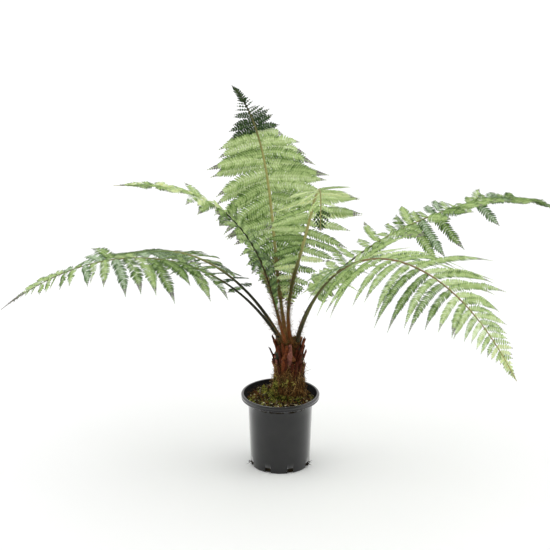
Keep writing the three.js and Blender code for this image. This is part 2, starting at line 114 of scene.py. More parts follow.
FRONDS = [
    dict(FROND, name="low_left", seat=(200, 0.023), heading=(200, 198), length=0.870,
         slopes=(61, 32, -4, -34), leaflet=0.168, spread=(110, 48), bank=(-3, -12),
         sag=(2, -2), droop=0.65, taper=1.2, first=0.19,
         pairs=30, twist=(20, 20), broad=1.2, apex=(0.07, 0.016), thick=0.7,
         tones=((0.3, "mid fresh"), (0.75, "mid blue fresh"), (0.88, "fresh"), (1, "grey")),
         stalk=("black", "black", "moss", "grey")),
    dict(FROND, name="back_left", seat=(156, 0.024), heading=(140, 130), length=0.750,
         slopes=(52, 15, -15, -15), leaflet=0.130, spread=(95, 50), bank=(5, 0),
         sag=(-14, 22), droop=0.3, taper=1.1, first=0,
         pairs=32, twist=(16, 16), broad=1.2, apex=(0.09, 0.02), thick=0.9,
         tones=((0.12, "dark deep"), (0.4, "deep mid"), (1, "mid blue")),
         stalk=("umber", "black", "moss", "moss")),
    dict(FROND, name="high_left", seat=(245, 0.021), heading=(213, 206), length=0.770,
         slopes=(71, 66, 32, 6), leaflet=0.138, spread=(86, 48), bank=(4, -10), sweep=30,
         sag=(-9, -9), droop=0.62, taper=1.1,
         pairs=34, twist=(-10, 18), broad=1.25, apex=(0.08, 0.016), thick=0.7,
         hairs=(800, 0.22),
         tones=((0.25, "deep mid"), (0.45, "mid fresh"), (1, "fresh light fresh yellow")),
         stalk=("rust", "umber", "black", "straw")),
    dict(FROND, name="upright", seat=(118, 0.017), heading=(103, 123), length=0.710,
         slopes=(47, 74, 63, 16), leaflet=0.160, spread=(112, 50), bank=(8, 20), sweep=4,
         sag=(3, 3), droop=0.85, base=0.25, swells=0.55, shoulder=0.42, taper=1.7,
         pairs=44, twist=(2, 2), broad=1.35, slim=0.72, apex=(0.10, 0.024), thick=1.15,
         hairs=(800, 0.22),
         # The dark tone at the blade's end is painted shade, where the tip bends away from the light.
         tones=((0.2, "mid deep fresh"), (0.45, "light fresh"), (0.72, "light light fresh"),
                (1, "dark")),
         stalk=("rust", "olive", "straw", "black")),
    dict(FROND, name="front", seat=(287, 0.019), heading=(-56, -94), length=0.790,
         slopes=(118, 60, 44, -80), leaflet=0.130, spread=(103, 45), bank=(18, -20), sweep=-4,
         sag=(3, 3), droop=0.3, base=0.3, swells=0.5, taper=0.7,
         pairs=27, twist=(-12, -12), broad=1.1, slim=0.6, apex=(0.03, 0.009), thick=1.25,
         hairs=(800, 0.22),
         # The dark tone at the blade's end is painted shade, where the tip hangs down in shadow.
         tones=((0.3, "fresh yellow mid"), (0.91, "light fresh yellow"), (1, "dark")),
         stalk=("rust", "olive", "straw", "moss")),
    dict(FROND, name="high_right", seat=(20, 0.023), heading=(24, 16), length=0.910,
         slopes=(81, 28, 7, -48), leaflet=0.120, spread=(92, 34), bank=(8, 12),
         sag=(-4, -8), droop=0.25, base=0.85, taper=1.0,
         pairs=46, twist=(30, -32), broad=1.3, apex=(0.07, 0.02), thick=0.7,
         hang=((0.08, -1, -18), (0.15, -1, -14), (0.20, -1, -16), (0.341, 1, 62), (0.373, 1, 58),
               (0.435, 1, 50), (0.604, 1, 52)),
         tones=((0.1, "fresh light"), (0.3, "fresh"), (0.85, "blue fresh mid fresh"),
                (1, "fresh blue")),
         stalk=("black", "black", "moss", "moss")),
    dict(FROND, name="low_right", seat=(330, 0.023), heading=(-50, -45), length=0.990,
         slopes=(70, 34, -15, -51), leaflet=0.230, spread=(86, 72), bank=(-8, 2), sweep=-3,
         sag=(0, -5), droop=0.7, taper=1.15, first=0,
         pairs=34, twist=(22, 10), broad=0.82, slim=0.3, apex=(0.085, 0.032), thick=0.9,
         tones=((0.3, "fresh light blue"), (0.7, "fresh light fresh mid"), (0.85, "fresh light"),
                (0.97, "fresh yellow"), (1, "grey")),
         stalk=("black", "olive", "tan", "straw")),
]
HANG_REACH = 0.012

# Base colours, linear.
GREENS = {
    "pale": (0.62, 0.73, 0.38),
    "light": (0.50, 0.63, 0.27),
    "fresh": (0.35, 0.48, 0.170),
    "mid": (0.18, 0.285, 0.080),
    "deep": (0.070, 0.125, 0.032),
    "dark": (0.020, 0.045, 0.012),
    "mist": (0.46, 0.58, 0.38),
    "sea": (0.27, 0.38, 0.20),
    "teal": (0.080, 0.15, 0.060),
    "lemon": (0.66, 0.70, 0.27),
    "grey": (0.25, 0.235, 0.20),
    "slate": (0.12, 0.105, 0.105),
}
# A tone is the colours of a lobe from its foot to its tip, darkening towards the tip as painted shade
# at the leaflet's margins; one half of each lobe takes each one colour further on, painted shade for
# the half that faces away from the light.
TONES = {
    "light": ("pale", "light", "fresh", "mid"),
    "fresh": ("light", "fresh", "mid", "deep"),
    "mid": ("fresh", "mid", "deep", "deep"),
    "deep": ("mid", "deep", "dark", "dark"),
    "dark": ("deep", "dark", "dark", "dark"),
    "blue": ("mist", "sea", "teal", "deep"),
    "yellow": ("lemon", "pale", "light", "fresh"),
    "grey": ("sea", "grey", "slate", "slate"),
}
BROWNS = {
    "rust": (0.20, 0.055, 0.014),
    "umber": (0.060, 0.040, 0.014),
    "black": (0.022, 0.022, 0.010),
    "olive": (0.085, 0.085, 0.026),
    "tan": (0.24, 0.17, 0.075),
    "moss": (0.25, 0.25, 0.095),
    "straw": (0.38, 0.36, 0.13),
    "grey": (0.20, 0.18, 0.15),
}


def random_for(*words):
    """A seeded source of random numbers that depends only on what it is for."""
    text = "/".join(str(word) for word in words)
    return np.random.default_rng([SEED] + [ord(letter) for letter in text])


def unit(vectors):
    return vectors / np.linalg.norm(vectors, axis=-1, keepdims=True)


def smoothstep(value, low, high):
    t = np.clip((value - low) / (high - low), 0, 1)
    return t * t * (3 - 2 * t)


def rolled(first, second, turn):
    """Two directions at right angles, turned together, the first towards the second."""
    cos, sin = np.cos(turn), np.sin(turn)
    return first * cos + second * sin, second * cos - first * sin


def compass(turn):
    """The level directions at each turn: outwards, and to the left of that."""
    outwards = np.stack([np.cos(turn), np.sin(turn), 0 * turn], -1)
    return outwards, np.stack([-np.sin(turn), np.cos(turn), 0 * turn], -1)


def around(sides):
    """The turns of a ring's points."""
    return np.linspace(0, 2 * np.pi, sides, endpoint=False)


def noise(points, size, seed=0):
    """Smooth noise from -1 to 1 at each point, with bumps of about that size."""
    place = np.asarray(points, float) / size + 1000.0
    cell = np.floor(place).astype(np.int64)
    part = place - cell
    part = part * part * (3 - 2 * part)
    total = np.zeros(place.shape[:-1])
    for corner in itertools.product((0, 1), repeat=3):
        weight = np.prod(np.where(corner, part, 1 - part), axis=-1)
        spot = cell + np.array(corner)
        code = spot @ np.array([73856093, 19349663, 83492791]) + seed * 1013904223
        code = (code ^ (code >> 13)) * 1274126177
        code = (code ^ (code >> 16)) & 0xFFFF
        total += weight * (code / 32767.5 - 1)
    return total


# ---- materials


def fill(node, values):
    """Sets a node's inputs by name, with _ for each space."""
    for socket, value in values.items():
        node.inputs[socket.replace("_", " ")].default_value = value


def new_node(nodes, kind, **values):
    made = nodes.new("ShaderNode" + kind)
    fill(made, values)
    return made


def noise_node(nodes, links, **values):
    """Noise that stays put on the piece."""
    place = new_node(nodes, "TexCoord")
    texture = new_node(nodes, "TexNoise", **values)
    links.new(place.outputs["Object"], texture.inputs["Vector"])
    return texture.outputs["Fac"]


def colour_node(nodes, links, colour, spread, size):
    """A base colour that wanders between a darker and a lighter one, in patches of a size."""
    ramp = new_node(nodes, "ValToRGB")
    ramp.color_ramp.elements[0].position = 0.3
    ramp.color_ramp.elements[1].position = 0.7
    for element, factor in zip(ramp.color_ramp.elements, (1 - spread, 1 + spread)):
        element.color = (*(min(channel * factor, 1) for channel in colour), 1)
    links.new(noise_node(nodes, links, Scale=1 / size, Detail=4), ramp.inputs["Fac"])
    return ramp.outputs["Color"]


def material(name, colour, roughness, spread=0.25, size=0.01, bump=0.3, grain=0.001, **sockets):
    """A procedural material: patchy colour, a bump of fine grain, and plain values for the rest."""
    made = bpy.data.materials.new(name)
    made.use_nodes = True
    nodes, links = made.node_tree.nodes, made.node_tree.links
    shader = nodes["Principled BSDF"]
    fill(shader, {"Roughness": roughness, "Specular_IOR_Level": 0.12, **sockets})
    links.new(colour_node(nodes, links, colour, spread, size), shader.inputs["Base Color"])
    relief = new_node(nodes, "Bump", Strength=bump, Distance=grain)
    links.new(noise_node(nodes, links, Scale=1 / grain, Detail=3), relief.inputs["Height"])
    links.new(relief.outputs["Normal"], shader.inputs["Normal"])
    return made


def stalk_material(name, colours, length):
    """A stalk's colours by distance from the crown: foot, bare stalk, rib and tip."""
    made = material(name, colours[0], 0.42, bump=0.35, grain=0.0012)
    nodes, links = made.node_tree.nodes, made.node_tree.links
    place = new_node(nodes, "TexCoord")
    away = new_node(nodes, "VectorMath")
    away.operation = "DISTANCE"
    away.inputs[1].default_value = (TRUNK_X, 0, CROWN)
    links.new(place.outputs["Object"], away.inputs[0])
    share = new_node(nodes, "MapRange", From_Max=length)
    links.new(away.outputs["Value"], share.inputs["Value"])
    ramp = new_node(nodes, "ValToRGB")
    stops = ramp.color_ramp.elements
    foot, bare, rib, tip = colours
    stops[0].position, stops[0].color = 0.05, (*foot, 1)
    stops[1].position, stops[1].color = 0.88, (*tip, 1)
    for position, colour in ((0.13, bare), (0.27, bare), (0.42, rib), (0.66, rib)):
        stops.new(position).color = (*colour, 1)
    links.new(share.outputs["Result"], ramp.inputs["Fac"])
    mix = new_node(nodes, "Mix", Factor=0.45)
    mix.data_type, mix.blend_type = "RGBA", "OVERLAY"
    links.new(ramp.outputs["Color"], mix.inputs["A"])
    links.new(noise_node(nodes, links, Scale=350), mix.inputs["B"])
    links.new(mix.outputs["Result"], nodes["Principled BSDF"].inputs["Base Color"])
    return made


# ---- meshes


class Batch:
    """Collects shapes of one kind, each with its material's number, and joins them in one piece."""

    def __init__(self):
        self.vertices, self.faces, self.shades, self.count = [], [], [], 0

    def add(self, vertices, faces, shade=0):
        vertices, faces = np.reshape(vertices, (-1, 3)), np.asarray(faces)
        self.vertices.append(vertices)
        self.faces.append(faces + self.count)
        self.shades.append(np.broadcast_to(shade, len(faces)))
        self.count += len(vertices)

    def add_copies(self, vertices, faces, shades):
        """Adds shapes that have the same faces, with a row of vertices for each."""
        faces = np.asarray(faces)
        offsets = np.arange(len(vertices))[:, None, None] * vertices.shape[1]
        self.add(vertices, (faces + offsets).reshape(-1, faces.shape[1]), shades)

    def close(self, first, sides, turned, shade=0):
        """Closes the ring of points that starts at first with a fan."""
        fan = np.array([[first, first + i, first + i + 1] for i in range(1, sides - 1)])
        self.faces.append(fan[:, ::-1] if turned else fan)
        self.shades.append(np.full(len(fan), shade))

    def piece(self, name, materials, slot, replaced=(), smooth=True):
        vertices = np.concatenate(self.vertices)
        corners = np.concatenate([faces.ravel() for faces in self.faces])
        sizes = np.concatenate([np.full(len(faces), faces.shape[1]) for faces in self.faces])
        mesh = bpy.data.meshes.new(name)
        mesh.vertices.add(len(vertices))
        mesh.vertices.foreach_set("co", vertices.astype(np.float32).ravel())
        mesh.loops.add(len(corners))
        mesh.loops.foreach_set("vertex_index", corners.astype(np.int32))
        mesh.polygons.add(len(sizes))
        starts = np.concatenate([[0], np.cumsum(sizes)[:-1]])
        mesh.polygons.foreach_set("loop_start", starts.astype(np.int32))
        mesh.polygons.foreach_set("material_index", np.concatenate(self.shades).astype(np.int32))
        mesh.polygons.foreach_set("use_smooth", np.full(len(sizes), smooth))
        mesh.update(calc_edges=True)
        mesh.validate()
        for each in materials:
            mesh.materials.append(each)
        piece = bpy.data.objects.new(name, mesh)
        bpy.context.collection.objects.link(piece)
        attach(piece, "root")
        if replaced:
            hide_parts(*replaced)
        return piece


def ring_faces(rings, sides):
    """The four-sided faces between rings of points, one ring after another."""
    ring, side = np.meshgrid(np.arange(rings - 1), np.arange(sides), indexing="ij")
    ring, side = ring.ravel(), side.ravel()
    on = (side + 1) % sides
    low, high = ring * sides, (ring + 1) * sides
    return np.stack([low + side, low + on, high + on, high + side], axis=1)


def add_tube(batch, middles, across, over, widths, depths, sides, shade=0, wobble=None):
    """A closed tube along middles, with half sizes widths and depths."""
    turns = around(sides)
    out = np.cos(turns)[:, None] * across[:, None] * np.reshape(widths, (-1, 1, 1))
    out = out + np.sin(turns)[:, None] * over[:, None] * np.reshape(depths, (-1, 1, 1))
    vertices = middles[:, None] + out
    if wobble is not None:
        vertices = wobble(vertices)
    first = batch.count
    batch.add(vertices, ring_faces(len(middles), sides), shade)
    batch.close(first, sides, True, shade)
    batch.close(first + (len(middles) - 1) * sides, sides, False, shade)


# ---- fronds


def through(values, t):
    """The value at t of the cubic that passes through four values at 0, 1/3, 2/3 and 1."""
    total = 0
    for i, value in enumerate(values):
        weight = 1
        for j in range(len(values)):
            if j != i:
                weight = weight * (3 * t - j) / (i - j)
        total = total + value * weight
    return total


def blade_share(u):
    """The share of the blade at shares u of the whole frond."""
    return (u - BARE) / (1 - BARE)


def directions(frond, u):
    """The frond's direction at shares u of its length, and those across it: right and over."""
    u = np.asarray(u, float)[..., None]
    foot, tip = frond["heading"]
    heading = np.radians(foot + (tip - foot) * u)
    slope = np.radians(through(frond["slopes"], u))
    foot, tip = frond["bank"]
    bank = np.radians(foot + (tip - foot) * np.maximum(0, blade_share(u)))
    level_cos = np.cos(slope)
    level_x, level_y = level_cos * np.cos(heading), level_cos * np.sin(heading)
    along = np.concatenate([level_x, level_y, np.sin(slope)], axis=-1)
    level = np.concatenate([np.sin(heading), -np.cos(heading), 0 * heading], axis=-1)
    above = np.cross(level, along)
    return along, *rolled(level, above, bank)


def frond_points(frond):
    """Points evenly along the frond, from its seat on the crown to its tip."""
    turn, radius = frond["seat"]
    seat = compass(math.radians(turn))[0] * radius + [TRUNK_X, 0, CROWN]
    along, _, _ = directions(frond, (np.arange(STEPS) + 0.5) / STEPS)
    return np.vstack([seat, seat + np.cumsum(along, axis=0) * frond["length"] / STEPS])


def between(points, share):
    """The place at a share, from 0 to 1, of a line of evenly spaced points."""
    steps = len(points) - 1
    marks = np.arange(steps + 1)
    return np.stack([np.interp(share * steps, marks, points[:, k]) for k in range(3)], axis=-1)


def stalk_radius(frond, u):
    """The stalk's radius at shares u of the frond's length, swollen at its foot."""
    swell = (SWOLLEN_RADIUS - STALK_RADIUS) * np.exp(-u * frond["length"] / SWELLING_LENGTH)
    return TIP_RADIUS + (STALK_RADIUS - TIP_RADIUS) * (1 - u) ** 0.8 + swell


def unevenness(seed, side, v):
    """A frond's own slow wandering along its blade, from -1 to 1."""
    slow = 0.6 * np.sin(19.2 * v + 2.4 * seed + side)
    return slow + 0.4 * np.sin(46.2 * v + 5.1 * seed - 2 * side)


def blade_outline(frond, v):
    """The length of the leaflets at a share of the blade, as a share of the longest."""
    swelling = math.sin(min(v / frond["swells"], 1) * math.pi / 2)
    share = frond["base"] + (1 - frond["base"]) * swelling
    return share * min(1, (1 - v) / frond["shoulder"]) ** frond["taper"]


def leaflet_line(frond, seed, points, v, side, random):
    """One leaflet's midrib: points from the rib to its tip, and the blade's upward direction."""
    u = BARE + (1 - BARE) * v
    along, right, over = (vector[0] for vector in directions(frond, [u]))
    uneven = unevenness(seed, side, v)
    foot, tip = frond["spread"]
    spread = foot + (tip - foot) * v * v
    spread += side * frond["sweep"] + SPREAD_STRAY[0] * uneven
    angle = math.radians(spread + random.normal(0, SPREAD_STRAY[1]))
    sag = frond["sag"][side > 0] + SAG_STRAY[0] * uneven + random.normal(0, SAG_STRAY[1])
    for spot, row, turn in frond["hang"]:
        if row == side and abs(spot - v) < HANG_REACH:
            sag += turn
    sag = math.radians(sag)
    outward = right * side * math.cos(sag) - over * math.sin(sag)
    start = along * math.cos(angle) + outward * math.sin(angle)
    outline = blade_outline(frond, v)
    length = frond["leaflet"] * outline * (1 + LENGTH_STRAY[0] * unevenness(seed + 3, side, v))
    length *= 1 + random.normal(0, LENGTH_STRAY[1])
    stray = 1 + DROOP_STRAY[0] * uneven + random.normal(0, DROOP_STRAY[1])
    pull = frond["droop"] * stray * min(1, length / 0.1)
    t = (np.arange(LEAFLET_STEPS) + 0.5)[:, None] / LEAFLET_STEPS
    heading = unit(start - UP * pull * t + along * CURL * t)
    midrib = np.vstack([[0, 0, 0], np.cumsum(heading, axis=0)]) * length / LEAFLET_STEPS
    return between(points, u) + midrib, heading, over, length


def lobe_outline(t):
    """The half width of a leaflet, set by its lobes' lengths, as a share of the widest."""
    foot = 0.7 + 0.3 * np.minimum(1, t / 0.08)
    return foot * np.minimum(1, (1 - t) / 0.42) ** 1.05


def lobe_template(teeth):
    """A toothed lobe of unit size: its points as (along, across, up), its faces and their zones of
    painted shade.
    """
    marks = np.arange(teeth + 1) / teeth
    points, faces, painted_shade_zones = [(s, 0.0, 0.02 * s) for s in marks], [], []

    def width(s):
        return (0.7 + 0.3 * min(1, s / 0.2)) * (1 - s**2.6) ** 0.65

    for side in (1, -1):
        first = len(points)
        for s in marks[:-1]:
            tooth = s + 0.62 / teeth
            points.append((s, side * 0.76 * width(s), 0.0))
            points.append((tooth, side * width(tooth), 0.03))
        for k in range(teeth):
            notch, tip = first + 2 * k, first + 2 * k + 1
            after = first + 2 * k + 2 if k < teeth - 1 else teeth
            fans = [(k, notch, tip), (k, tip, after)]
            if k < teeth - 1:
                fans.append((k, after, k + 1))
            faces += [fan[::-1] for fan in fans] if side > 0 else fans
            # Painted shade: the teeth darken in three zones from the lobe's foot to its tip, and the
            # faces of one half take the next darker zone, for the shaded margins and the half turned
            # from the light.
            painted_shade_zone = 0 if k < 0.4 * teeth else 1 if k < 0.75 * teeth else 2
            painted_shade_zones += [painted_shade_zone if side > 0 else painted_shade_zone + 1] * len(fans)
    return np.array(points), np.array(faces), np.array(painted_shade_zones)


LOBES = {teeth: lobe_template(teeth) for teeth, _ in LOBE_KINDS}


def add_lobes(batch, teeth, feet, lobe, edge, face, lengths, widths, lean, curl, shades):
    """Lobes at feet, each along lobe and as wide as widths across edge; shades by lobe and
    painted-shade zone.
    """
    points, faces, painted_shade_zones = LOBES[teeth]
    s, w, h = points.T
    lengths, widths = lengths[:, None], widths[:, None]
    vertices = (
        feet[:, None]
        + lobe[:, None] * (s * lengths)[..., None]
        + edge[:, None] * (w * widths + lean * s**2 * lengths)[..., None]
        + face[:, None] * ((h - curl * s**2) * lengths)[..., None]
    )
    batch.add_copies(vertices, faces, shades[:, painted_shade_zones].ravel())


def add_leaflet(batch, line, side, width, twist, tone, tip_tone, random):
    """A leaflet: a fine midrib with two rows of toothed lobes that shorten towards its tip."""
    middles, heading, over, length = line
    half = width / 2
    count = max(1, round(length / LOBE_PITCH)) if length > SIMPLE_LEAFLET else 1
    share = (np.arange(count) + 0.4) / count
    steps = np.arange(LEAFLET_STEPS)
    spots = share * LEAFLET_STEPS - 0.5
    along = unit(np.stack([np.interp(spots, steps, heading[:, k]) for k in range(3)], 1))
    top = unit(over - along * (along @ over)[:, None])
    at_foot, at_tip = TWIST_STRAY
    turn = twist + random.normal(0, at_foot) + random.normal(0, at_tip) * share
    turn = side * np.radians(turn)[:, None]
    across, top = rolled(np.cross(along, top), top, turn)
    pick = random.random((2, count, 1))
    if count == 1:
        shades = np.array([tip_tone if length < GREY_LEAFLET else tone])
        add_lobes(batch, LOBE_TEETH, middles[:1], along, across, top, np.array([length]),
                  np.array([half]), 0.0, 0.1, shades)
        return
    feet = between(middles, share)
    pitch = length / count
    fold = math.radians(random.normal(*FOLD))
    lengths = half * lobe_outline(share) * (1 + random.normal(0, 0.06, count))
    widths = LOBE_WIDTH * pitch * (0.75 + 0.25 * np.minimum(1, lengths / (2 * pitch)))
    greyed = share > 0.9 - 0.14 * random.random()
    for row, way in enumerate((1, -1)):
        angle = LOBE_ANGLE - LOBE_CLOSING * share**2 + random.normal(0, 3, count)
        angle = np.radians(angle)[:, None]
        outward = across * way * math.cos(fold) + top * math.sin(fold)
        lobe = along * np.cos(angle) + outward * np.sin(angle)
        tilt = np.radians(random.normal(0, LOBE_TILT, count))[:, None]
        face = unit(top - lobe * (lobe * top).sum(1, keepdims=True))
        edge = np.cross(face, lobe)
        edge = edge * np.sign((edge * along).sum(1))[:, None]
        edge, face = rolled(edge, face, tilt)
        shades = np.where(greyed[:, None], np.array(tip_tone), np.array(tone))
        darker = np.hstack([shades[:, 1:], shades[:, -1:]])
        shades = np.where(pick[row] < DARKER_SHARE, darker, shades)
        curl = random.normal(*LOBE_CURL)
        longest = np.inf
        for teeth, shortest in LOBE_KINDS:
            chosen = (lengths > shortest) & (lengths <= longest)
            longest = shortest
            if chosen.any():
                add_lobes(batch, teeth, feet[chosen], lobe[chosen], edge[chosen], face[chosen],
                          lengths[chosen], widths[chosen], LOBE_LEAN, curl, shades[chosen])
    radius = np.linspace(0.0008, 0.0003, len(middles)) * (0.6 + half / 0.02)
    frames = unit(np.vstack([heading[:1], (heading[1:] + heading[:-1]) / 2, heading[-1:]]))
    sideways = unit(np.cross(frames, over))
    add_tube(batch, middles, sideways, np.cross(sideways, frames), radius, radius, 4, tone[1])


def leaflet_spots(frond):
    """Where a frond's leaflets stand along its blade, and the room that each has."""
    pairs = frond["pairs"]
    marks = 1 - (1 - np.arange(pairs + 1) / pairs) ** CROWDING
    middles = 1 - (1 - (np.arange(pairs) + 0.5) / pairs) ** CROWDING
    shares = np.diff(marks)
    low = np.arange(frond["first"] + 0.01, 0, LOW_LEAFLET_STEP)
    middles = np.append(low, middles)
    shares = np.append(np.full(len(low), LOW_LEAFLET_STEP), shares)
    return middles, shares * (1 - BARE) * frond["length"]


def tone_at(frond, v, random, numbers):
    """The numbers of the colours of one leaflet's tone, dealt from those for its place."""
    names = next(names for end, names in frond["tones"] if v <= end)
    return [numbers[name] for name in TONES[random.choice(names.split())]]


def add_apex(batch, frond, points, tone, random):
    """The blade's end, where the leaflets run together in one lobed tongue."""
    share, width = frond["apex"]
    middles = between(points, np.linspace(1 - share, 1, LEAFLET_STEPS + 1))
    heading = unit(np.diff(middles, axis=0))
    _, _, over = directions(frond, [1 - share / 2])
    line = middles, heading, over[0], share * frond["length"]
    add_leaflet(batch, line, 1, width, 0, tone, tone, random)


def add_frond_leaves(frond, seed, greens):
    """All the leaflets of a frond, in one piece."""
    batch = Batch()
    random = random_for("leaves", frond["name"])
    points = frond_points(frond)
    numbers = {name: i for i, name in enumerate(greens)}
    tip_tone = [numbers[name] for name in TONES["grey"]]
    for v, room in zip(*leaflet_spots(frond)):
        for side in (-1, 1) if v > frond["first"] else ():
            shift = side * 0.15 * room / frond["length"]
            line = leaflet_line(frond, seed, points, v + shift, side, random)
            length = line[3]
            if length < SHORTEST_LEAFLET:
                continue
            narrow = 1 - frond["slim"] * smoothstep(v, 0.7, 0.85)
            limits = WIDEST_LEAFLET, 0.014 + 0.11 * length, 1.8 * room * narrow, 0.5 * length
            width = frond["broad"] * min(limits)
            tone = tone_at(frond, v, random, numbers)
            twist = frond["twist"][side > 0]
            add_leaflet(batch, line, side, width, twist, tone, tip_tone, random)
    # The tongue takes the tone near the blade's end, so where that tone is painted shade the tongue
    # is too.
    add_apex(batch, frond, points, tone_at(frond, 0.93, random, numbers), random)
    nodes = [f"{frond['name']}_{part}" for part in ("inner", "outer")]
    return batch.piece(f"{frond['name']}_leaflets", list(greens.values()), "leaf", nodes)


def add_frond_stalk(frond):
    """The stalk and rib, with a broad foot that runs down the trunk's side below its seat."""
    batch = Batch()
    u = np.linspace(0, 1, 120)
    middles = between(frond_points(frond), u)
    _, right, over = directions(frond, u)
    radius = stalk_radius(frond, u) * (1 + (frond["thick"] - 1) * smoothstep(u, 0.1, 0.3))
    out, _ = compass(math.radians(frond["seat"][0]))
    rings = 7
    depth = np.linspace(0.045, 0.005, rings)[:, None]
    boot = middles[0] - UP * depth + out * 0.012 * (depth / 0.045) ** 2
    flat_right = unit(right[0] * [1, 1, 0])
    middles = np.vstack([boot, middles])
    right = np.vstack([np.repeat(flat_right[None], rings, 0), right])
    over = np.vstack([np.repeat(np.cross(flat_right, UP)[None], rings, 0), over])
    blend = np.linspace(0, 1, 12)[:, None] ** 2
    turned = slice(rings, rings + len(blend))
    for side in (over, right):
        side[turned] = unit(side[rings - 1] * (1 - blend) + side[turned] * blend)
    widths = np.concatenate([np.linspace(0.0095, radius[0] * 1.08, rings), radius * 1.06])
    depths = np.concatenate([np.linspace(0.0065, radius[0] * 0.95, rings), radius * 0.92])

    def ridged(vertices):
        middle = vertices.mean(axis=1, keepdims=True)
        uneven = noise(vertices * [1, 1, 0.35], 0.0032, 5) * 0.07
        return middle + (vertices - middle) * (1 + uneven[..., None])

    add_tube(batch, middles, right, over, widths, depths, 14, 0, ridged)
    colours = [BROWNS[name] for name in frond["stalk"]]
    shade = stalk_material(f"{frond['name']}_stalk_skin", colours, frond["length"])
    return batch.piece(f"{frond['name']}_rib", [shade], "stalk", [f"{frond['name']}_stalk"])


# ---- trunk

TRUNK_WAIST = 0.0362
CROWN_RADIUS = 0.032
ROOT_FLARE = 0.009
BASE_TOPS = (0.100, 0.118, 0.137, 0.156, 0.160)
BASES_IN_RING = 9
BASE_LEAN = 9


def trunk_radius(z):
    """The trunk's radius at a height, with its flare at the foot."""
    t = (z - SOIL_TOP) / (CROWN - SOIL_TOP)
    flare = ROOT_FLARE * np.exp(-9 * np.maximum(t, 0))
    return TRUNK_WAIST + (CROWN_RADIUS - TRUNK_WAIST) * t + flare


def add_trunk(materials):
    """The trunk's core with its mat of roots, and the old stalk bases that clothe it."""
    batch = Batch()
    sides, rings = 170, 120
    turns = around(sides)
    heights = np.linspace(SOIL_TOP - 0.006, CROWN, rings)
    z, turn = np.meshgrid(heights, turns, indexing="ij")
    out, _ = compass(turn)
    skin = out * 0.034 + UP * z[..., None]
    low = 1 - smoothstep(z, SOIL_TOP + 0.05, SOIL_TOP + 0.12)
    relief = 0.0022 * noise(skin * [1, 1, 0.12], 0.0035, 1)
    relief += low * (0.0035 * noise(skin, 0.014, 2) + 0.0014 * noise(skin, 0.004, 3))
    radius = trunk_radius(z) - 0.002 + relief
    vertices = out * radius[..., None] + UP * z[..., None] + [TRUNK_X, 0, 0]
    batch.add(vertices, ring_faces(rings, sides))
    batch.close((rings - 1) * sides, sides, False)
    random = random_for("bases")
    for ring, height in enumerate(BASE_TOPS):
        for i in range(BASES_IN_RING):
            turn = (i + 0.5 * (ring % 2) + random.normal(0, 0.15)) / BASES_IN_RING * 2 * np.pi
            length = random.uniform(0.046, 0.066)
            foot = SOIL_TOP + height + random.normal(0, 0.006) - length
            add_stalk_base(batch, turn, foot, length, random)
    return batch.piece("trunk_bark", materials, "trunk", ["trunk"])


def add_stalk_base(batch, turn, foot, length, random):
    """One old stalk base: a ribbed flat stub with a ragged end, leaning out of the trunk."""
    out, across = compass(turn)
    lean = math.radians(BASE_LEAN + random.normal(0, 3))
    along = UP * math.cos(lean) + out * math.sin(lean)
    along = unit(along + across * random.normal(0, 0.08))
    s = np.linspace(0, 1, 10)
    start = np.array([TRUNK_X, 0, foot]) + out * (trunk_radius(foot) - 0.005)
    middles = start + along * (s * length)[:, None] + out * (0.004 * s**3)[:, None]
    frames = np.repeat(across[None], 10, 0), np.repeat(out[None], 10, 0)
    width = random.uniform(0.0050, 0.0074)
    widths = width * (1 - 0.45 * s**3)
    depths = 0.0040 * (1 - 0.4 * s)
    seed = int(random.integers(1000))

    def ragged(vertices):
        middle = vertices.mean(axis=1, keepdims=True)
        ribs = noise(vertices * [1, 1, 0.15], 0.0026, seed) * 0.22
        vertices = middle + (vertices - middle) * (1 + ribs[..., None])
        tear = noise(vertices[-1] * [1, 1, 0], 0.003, seed + 1) * 0.006
        vertices[-1] += along * tear[:, None]
        vertices[-2] += along * tear[:, None] * 0.5
        return vertices

    shade = 1 + int(random.choice(4, p=(0.44, 0.33, 0.2, 0.03)))
    add_tube(batch, middles, *frames, widths, depths, 14, shade, ragged)


def add_strands(name, starts, headings, lengths, radius, bend, materials, slot, random, segments=5):
    """Many fine three-sided strands, each from a start along a heading, with its own bend."""
    batch = Batch()
    t = np.linspace(0, 1, segments + 1)
    count = len(starts)
    bends = random.normal(0, 1, (count, 3)) * bend
    wander = random.normal(0, 1, (count, 3)) * bend * 0.5
    line = headings[:, None] * t[None, :, None] + bends[:, None] * (t**2)[None, :, None]
    line = line + wander[:, None] * np.sin(t * 5)[None, :, None]
    middles = starts[:, None] + line * np.reshape(lengths, (-1, 1, 1))
    tangent = unit(np.gradient(middles, axis=1))
    across = unit(np.cross(tangent, random.normal(0, 1, (count, 1, 3))))
    over = np.cross(tangent, across)
    taper = np.reshape(radius, (-1, 1, 1, 1)) * (1 - 0.75 * t)[None, :, None, None]
    turns = np.arange(3) * 2 * np.pi / 3
    rim = np.cos(turns)[:, None] * across[:, :, None] + np.sin(turns)[:, None] * over[:, :, None]
    vertices = middles[:, :, None] + rim * taper
    faces = ring_faces(segments + 1, 3)
    shades = np.repeat(random.integers(0, len(materials), count), len(faces))
    batch.add_copies(vertices.reshape(count, -1, 3), faces, shades)
    return batch.piece(name, materials, slot)


